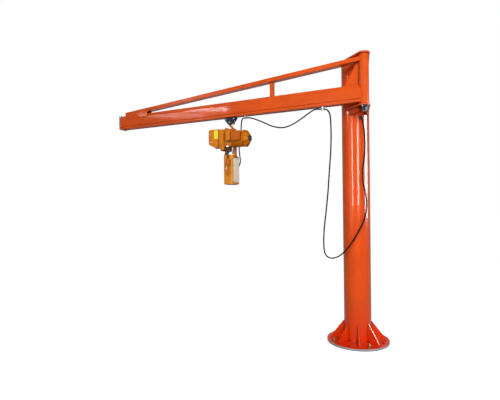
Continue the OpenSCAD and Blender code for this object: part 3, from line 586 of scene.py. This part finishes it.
# How far each piece's side stands from the jib's middle
STRUT_HALF, GUSSET_HALF, TIP_HALF, POST_HALF = 0.0205, 0.006, 0.0455, 0.0405
POST_FACE = PIVOT.x - 0.030
END_FLANGE = 0.015
for name, z in (("top", strut[1][2] - 0.004), ("foot", strut[0][2] + 0.002)):
    x0, x1 = strut[0][0], strut[1][0]
    y0, y1 = JIB_Y - STRUT_HALF, JIB_Y + STRUT_HALF
    weld(f"strut_weld_{name}", [(x0, y0, z), (x1, y0, z), (x1, y1, z), (x0, y1, z), (x0, y0, z)],
         0.0028, jib_paint, "jib")
for side in (-1, 1):
    y = JIB_Y + side * GUSSET_HALF
    weld(f"gusset_weld_{side + 1}", [(gusset[0][0] + 0.01, y, gusset[0][2] + 0.002),
                                     (gusset[1][0] - 0.004, y, gusset[0][2] + 0.002),
                                     (gusset[1][0] - 0.002, y, gusset[1][2] - 0.006)],
         0.003, jib_paint, "jib")
    y = JIB_Y + side * TIP_HALF
    weld(f"tip_plate_weld_{side + 1}", [(tips[1][0] - 0.004, y, tips[0][2] + 0.001),
                                        (tips[0][0] + 0.01, y, tips[0][2] + 0.001)],
         0.0025, jib_paint, "jib")
    y = JIB_Y + side * POST_HALF
    weld(f"track_post_weld_{side + 1}", [(POST_FACE, y, rail[0][2] + 0.01),
                                         (POST_FACE, y, rail[1][2] - 0.004)],
         0.0035, jib_paint, "jib")
for side in (-1, 1):
    clear_selection()
    bpy.ops.mesh.primitive_cube_add(size=1, location=(
        cap[0][0] + END_FLANGE / 2, JIB_Y + side * TIP_HALF, (cap[0][2] + cap[1][2]) / 2))
    flange = bpy.context.object
    flange.scale = (END_FLANGE, 0.002, cap[1][2] - cap[0][2] - 0.004)
    attach(flange, f"end_cap_flange_{side + 1}", grey_steel, "jib")
for i, y in enumerate((-0.026, 0.026)):
    bolt(f"end_cap_bolt_{i}", (cap[1][0] + 0.012, JIB_Y + y, rail[1][2]), (0, 0, 1),
         0.013, 0.008, dark_steel, "jib", 0.0012)
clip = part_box("cable_clip")
for i, x in enumerate((-0.2605, -0.2805)):
    bolt(f"clip_bolt_{i}", (x, JIB_Y, clip[0][2]), (0, 0, -1), 0.010, 0.005, zinc, "jib", 0.001)

# ---------------------------------------------------------------------------
# Trolley. Two dark enamelled cheeks under the track on a web that runs in its
# slot, four rollers inside it, and a bright pin through the hoist's top hook.
trolley_paint = enamel("trolley_enamel", (0.010, 0.020, 0.042), rough=0.3, coat=0.25,
                       grime=(0.12, 0.12, 0.12), slot="trolley_paint")
dress(trolley_paint, "trolley_cheeks", "trolley_body")
dress(zinc, "trolley_wheels")
# The load pin's blue tint is a painted highlight for the light-blue glint on it.
dress(steel("blued_pin", (0.16, 0.20, 0.27), rough=0.4, metal=0.6, slot="steel"), "load_pin")
dress(grey_steel, "cable_carrier")
cheeks, load_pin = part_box("trolley_cheeks"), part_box("load_pin")
PIN_X, PIN_Z = -1.3295, 2.318
for side, cheek, pin_end in ((-1, cheeks[0], load_pin[0]), (1, cheeks[1], load_pin[1])):
    for i, x in enumerate((-0.052, 0.052)):
        bolt(f"cheek_bolt_{side + 1}_{i}", (PIN_X + x, cheek[1], cheeks[1][2] - 0.012), (0, side, 0),
             0.011, 0.005, zinc, "trolley", 0.001)
    peg(f"pin_split_pin_{side + 1}", (PIN_X, pin_end[1] - side * 0.004, PIN_Z), (0.5, 0, 1),
        0.0018, -0.013, 0.013, zinc, "trolley", sides=12)


def sheet(corners, faces):
    """A piece without thickness that has these corners and faces."""
    clear_selection()
    bpy.ops.mesh.primitive_plane_add(size=1)
    piece = bpy.context.object
    bpy.ops.object.mode_set(mode="EDIT")
    mesh = bmesh.from_edit_mesh(piece.data)
    bmesh.ops.delete(mesh, geom=list(mesh.verts), context="VERTS")
    verts = [mesh.verts.new(q) for q in corners]
    for face in faces:
        mesh.faces.new([verts[k] for k in face])
    bmesh.update_edit_mesh(piece.data)
    bpy.ops.object.mode_set(mode="OBJECT")
    return piece


def strip(name, line, y, wide, thick, finish, body):
    """A bent flat bar along a line of (x, z) points, wide across it."""
    corners = [(x, side, z) for x, z in line for side in (y - wide / 2, y + wide / 2)]
    bar = sheet(corners, [(k, k + 1, k + 3, k + 2) for k in range(0, len(corners) - 2, 2)])
    shape(bar, "SOLIDIFY", thickness=thick, offset=0)
    soften(bar, 0.0004, 1)
    attach(bar, name, finish, body)


strip("hook_keeper", [(-1.2640, 2.338), (-1.2600, 2.312), (-1.2680, 2.285), (-1.2740, 2.279)],
      cheeks[0][1] - 0.0012, 0.006, 0.0035, grey_steel, "trolley")

# ---------------------------------------------------------------------------
# Hoist. Cast gear housing, pressed control cover and motor in amber enamel,
# bolted together, with a gasket at the cover, a lidded terminal box, a ribbed
# end cover and a black end disc. A plain yellow label is stuck on the cover.
AMBER = (0.66, 0.185, 0.002)
# The hoist's enamel has painted shade in its corners over a wider reach.
hoist_paint = enamel("hoist_enamel", AMBER, rough=0.28, coat=0.15,
                     grime=(0.16, 0.05, 0.006), shade_reach=0.05, slot="yellow_paint")
lid_paint = enamel("terminal_enamel", (0.50, 0.105, 0.003), rough=0.32, coat=0.05,
                   grime=(0.10, 0.03, 0.005), slot="yellow_paint")
dress(hoist_paint, "gear_housing", "control_cover", "suspension_lug", "top_hook", "motor_barrel",
      "motor_end_cover")
dress(lid_paint, "terminal_box")
dress(zinc, "top_hook_latch")
dress(black, "motor_end_disc", "cable_glands")
cover, housing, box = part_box("control_cover"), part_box("gear_housing"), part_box("terminal_box")
end_cover, disc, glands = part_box("motor_end_cover"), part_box("motor_end_disc"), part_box("cable_glands")
COVER_FACE, HOUSING_FACE = cover[0][1], housing[0][1]
MOTOR_Z = 2.130
END_BOLT_R = 0.0855


def panel(name, place, facing, wide, high, corner_shade, thick, finish, body):
    """A thin rounded rectangle on a face that looks along facing."""
    clear_selection()
    bpy.ops.mesh.primitive_plane_add(size=1)
    plate = bpy.context.object
    plate.scale = (wide, high, 1)
    settle(plate)
    shape(plate, "BEVEL", affect="VERTICES", width=corner_shade, segments=6)
    shape(plate, "SOLIDIFY", thickness=thick, offset=1)
    return attach(lay(plate, place, facing), name, finish, body)


label = enamel("plain_yellow_label", (0.90, 0.72, 0.02), rough=0.35, coat=0.1, wear=0.2,
               grime=(0.5, 0.3, 0.05), slot=None)
panel("cover_label", (-1.4590, COVER_FACE, 2.182), (0, -1, 0), 0.054, 0.096, 0.004, 0.0004, label, "hoist")
# The two cover ribs get a pale enamel whose colour is a painted highlight standing in for the glints on them.
rib_glint_enamel = enamel("worn_bright_enamel", (0.95, 0.80, 0.58), rough=0.2, coat=0.6, wear=0.2,
                  slot="yellow_paint")
for i, (x, sink, z, l) in enumerate(((-1.5385, 0.0028, 2.186, 0.022), (-1.5260, 0.0012, 2.101, 0.036))):
    peg(f"cover_rib_{i}", (x, COVER_FACE + sink, z), (1, 0, 0), 0.0036, -l / 2, l / 2, rib_glint_enamel, "hoist",
        edge=0.0016, sides=20)
panel("cover_gasket", (-1.4295, COVER_FACE + 0.0035, (cover[0][2] + cover[1][2]) / 2), (0, -1, 0),
      0.0035, 0.192, 0.001, 0.0040, black, "hoist")
for i, (x, z) in enumerate(((-1.4385, 2.060), (-1.4385, 2.118), (-1.5100, 2.075), (-1.5100, 2.226))):
    bolt(f"cover_screw_{i}", (x, COVER_FACE, z), (0, -1, 0), 0.008, 0.003, hoist_paint, "hoist", 0.0008)
for i, z in enumerate((2.178, 2.060)):
    bolt(f"housing_bolt_{i}", (-1.3960, HOUSING_FACE + 0.002, z), (0, -1, 0),
         0.011, 0.006, hoist_paint, "hoist", 0.001)
# Two thin black ovals on the housing's front are painted shadow: one under the centre block's edge and one in
# a shaded recess.
for i, (x, z, l) in enumerate(((-1.3130, 2.096, 0.030), (-1.3440, 2.072, 0.024))):
    panel(f"housing_pocket_{i}", (x, JIB_Y - 0.0800, z), (0, -1, 0), l, 0.012, 0.0059, 0.0006, black, "hoist")
peg("oil_plug", (-1.3165, HOUSING_FACE + 0.001, 2.150), (0, -1, 0), 0.011, 0, 0.003, hoist_paint, "hoist",
    edge=0.001)
# The ribs under the housing are black: painted shade for the shaded ribbed underside of the housing.
for i in range(4):
    panel(f"housing_base_rib_{i}", (-1.4090 + 0.013 * i, JIB_Y - 0.050, 2.0065), (0, 0, -1),
          0.007, 0.090, 0.002, 0.006, black, "hoist")
(box_x0, box_face, box_z0), (box_x1, _, box_z1) = box
panel("terminal_gasket", ((box_x0 + box_x1) / 2, box_face + 0.0075, (box_z0 + box_z1) / 2), (0, -1, 0),
      box_x1 - box_x0 - 0.004, box_z1 - box_z0 - 0.004, 0.004, 0.0018, black, "hoist")
for i, (u, v) in enumerate(((0.08, 0.1), (0.92, 0.1), (0.08, 0.9), (0.92, 0.9))):
    spot = (box_x0 + u * (box_x1 - box_x0), box_face, box_z0 + v * (box_z1 - box_z0))
    bolt(f"lid_screw_{i}", spot, (0, -1, 0), 0.007, 0.0003, dark_steel, "hoist", 0.0003)
for i in range(8):
    turn = math.radians(45 * i)
    spot = (end_cover[0][0] + 0.014,
            JIB_Y + END_BOLT_R * math.cos(turn), MOTOR_Z + END_BOLT_R * math.sin(turn))
    bolt(f"end_cover_bolt_{i}", spot, (1, 0, 0), 0.0085, 0.005, hoist_paint, "hoist", 0.001)
# The boss's steel-blue colour, brighter than the dark-blue boss itself, is a painted highlight for the
# blue-white glint on it.
peg("end_disc_boss", (disc[1][0], JIB_Y, MOTOR_Z), (1, 0, 0), 0.016, 0, 0.004,
    steel("blued_boss", (0.20, 0.30, 0.45), rough=0.2, slot="steel"), "hoist", edge=0.0015)
CABLE_GLAND = (-1.4515, JIB_Y + 0.088)
for i, (x, y) in enumerate(((-1.4755, JIB_Y - 0.078), (-1.4455, JIB_Y - 0.078), CABLE_GLAND)):
    bolt(f"gland_nut_{i}", (x, y, glands[1][2] - 0.004), (0, 0, -1), 0.022, 0.004, black, "hoist", 0.001)
strain_relief("hoist_strain_relief", (*CABLE_GLAND, glands[0][2]), (0, 0, -1),
              0.010, 0.028, 0.014, 0.0008, "hoist")

# ---------------------------------------------------------------------------
# Chain bucket. A moulded amber bin on two straps, with a plain white panel on
# its side, a dark skid under it and a steel stop lever beside the chain.
bin_paint = enamel("bucket_enamel", (0.76, 0.270, 0.008), rough=0.3, coat=0.3, grime=(0.2, 0.07, 0.01),
                   slot="yellow_paint")
dress(hoist_paint, "bucket_bracket")
dress(bin_paint, "chain_bucket")
dress(zinc, "chain_guide")
bin_box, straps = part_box("chain_bucket"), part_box("bucket_bracket")
white_panel = enamel("plain_white_panel", (0.98, 0.83, 0.68), rough=0.35, coat=0.2, wear=0.3,
                     grime=(0.5, 0.3, 0.2), slot=None)
PANEL_Z = 1.790
middle_y = (bin_box[0][1] + bin_box[1][1]) / 2
panel("bucket_panel_border", (bin_box[1][0], middle_y, PANEL_Z), (1, 0, 0),
      0.142, 0.284, 0.020, 0.0012, lid_paint, "hoist")
panel("bucket_panel", (bin_box[1][0] + 0.001, middle_y, PANEL_Z), (1, 0, 0),
      0.134, 0.276, 0.017, 0.0012, white_panel, "hoist")
panel("bucket_skid", ((bin_box[0][0] + bin_box[1][0]) / 2, middle_y, bin_box[0][2]), (0, 0, -1),
      0.080, 0.140, 0.012, 0.005, black, "hoist")
for i, (x, drop) in enumerate(((bin_box[0][0] - 0.006, 0.030), (bin_box[1][0] + 0.006, 0.013))):
    for k, y in enumerate((-0.016, 0.016)):
        bolt(f"strap_bolt_{i}_{k}", (x, JIB_Y + 0.05 + y, bin_box[1][2] - drop), (2 * i - 1, 0, 0),
             0.010, 0.004, hoist_paint, "hoist", 0.001)
front = straps[0][1] - 0.0015
lever = sheet([(x, front, z) for x, z in ((-1.302, 2.044), (-1.302, 1.972), (-1.322, 1.968),
                                          (-1.330, 1.984), (-1.312, 2.044))], [range(5)])
shape(lever, "SOLIDIFY", thickness=0.003, offset=0)
soften(lever, 0.0006, 1)
lever_steel = steel("dull_lever_steel", (0.20, 0.21, 0.22), rough=0.45, slot="grey_steel")
attach(lever, "stop_lever", lever_steel, "hoist")

# ---------------------------------------------------------------------------
# Load chain. Round-wire links, each turned a quarter from the next. Seven links
# hang below the housing in place of the CAD chain, and pairs of links are built
# at the top of the chain, one pair for each two link steps of the block's travel.
LINK_STEP, WIRE_R, BEND_R, LEG = 0.0237, 0.004, 0.0092, 0.0136
TRAVEL = 1.65
SHOWN_LINKS = 7
chain_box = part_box("load_chain")
CHAIN_X = (chain_box[0][0] + chain_box[1][0]) / 2
CHAIN_Y = (chain_box[0][1] + chain_box[1][1]) / 2
TOP_LINK_Z = chain_box[1][2] - 0.020


def link(z, quarter):
    """One link round the chain's axis at a height, in the XZ plane or turned to the YZ plane."""
    turns = [math.radians(22.5 * k) for k in range(9)]
    ends = [(BEND_R * math.cos(a), LEG / 2 + BEND_R * math.sin(a)) for a in turns]
    ends += [(-u, -v) for u, v in ends]
    curve = bpy.data.curves.new("link", "CURVE")
    curve.dimensions = "3D"
    line = curve.splines.new("POLY")
    line.points.add(len(ends) - 1)
    for spot, (u, v) in zip(line.points, ends):
        spot.co = (0 if quarter else u, u if quarter else 0, v, 1)
    line.use_cyclic_u = True
    curve.bevel_depth = WIRE_R
    curve.bevel_resolution = 2
    ring = bpy.data.objects.new("link", curve)
    ring.location = (CHAIN_X, CHAIN_Y, z)
    bpy.context.scene.collection.objects.link(ring)
    pick(ring)
    bpy.ops.object.convert(target="MESH")
    bpy.ops.object.shade_smooth_by_angle(angle=math.radians(70))
    return settle(bpy.context.object)


def follow_block(piece, name):
    """Names a piece of chain, gives it the chain steel and moves its place into its mesh."""
    piece.name = name
    use(piece, chain_steel)
    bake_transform(piece)
    return piece


chain_steel = steel("oiled_chain_steel", (0.045, 0.047, 0.052), rough=0.3)
links = join([link(TOP_LINK_Z - LINK_STEP * i, i % 2) for i in range(SHOWN_LINKS)])
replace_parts(follow_block(links, "load_chain_links"), "load_chain")
for pair in range(1, int((TRAVEL + LINK_STEP) / (2 * LINK_STEP)) + 1):
    links = join([link(TOP_LINK_Z + LINK_STEP, 0), link(TOP_LINK_Z, 1)])
    follow_block(links, f"chain_pair_{pair:02d}")

# ---------------------------------------------------------------------------
# Hook block and hook. A cast amber block of two round lobes held by socket
# screws, and a forged amber hook on a swivel, shut by a bright spring latch.
# The hook's enamel has painted shade in its corners over a wider reach.
hook_paint = enamel("hook_enamel", (0.66, 0.150, 0.002), rough=0.24, coat=0.5,
                    grime=(0.10, 0.03, 0.004), shade_reach=0.05, slot="yellow_paint")
dress(hook_paint, "hook_block", "load_hook")
dress(steel("bright_latch", (0.85, 0.84, 0.82), rough=0.25), "load_hook_latch")
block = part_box("hook_block")
for i, z in enumerate((block[1][2] - 0.022, block[0][2] + 0.020)):
    for side, y in ((-1, block[0][1]), (1, block[1][1])):
        peg(f"block_screw_{i}_{side + 1}", (CHAIN_X, y, z), (0, side, 0), 0.0065, 0, 0.0025,
            dark_steel, "block", edge=0.0007, sides=24)
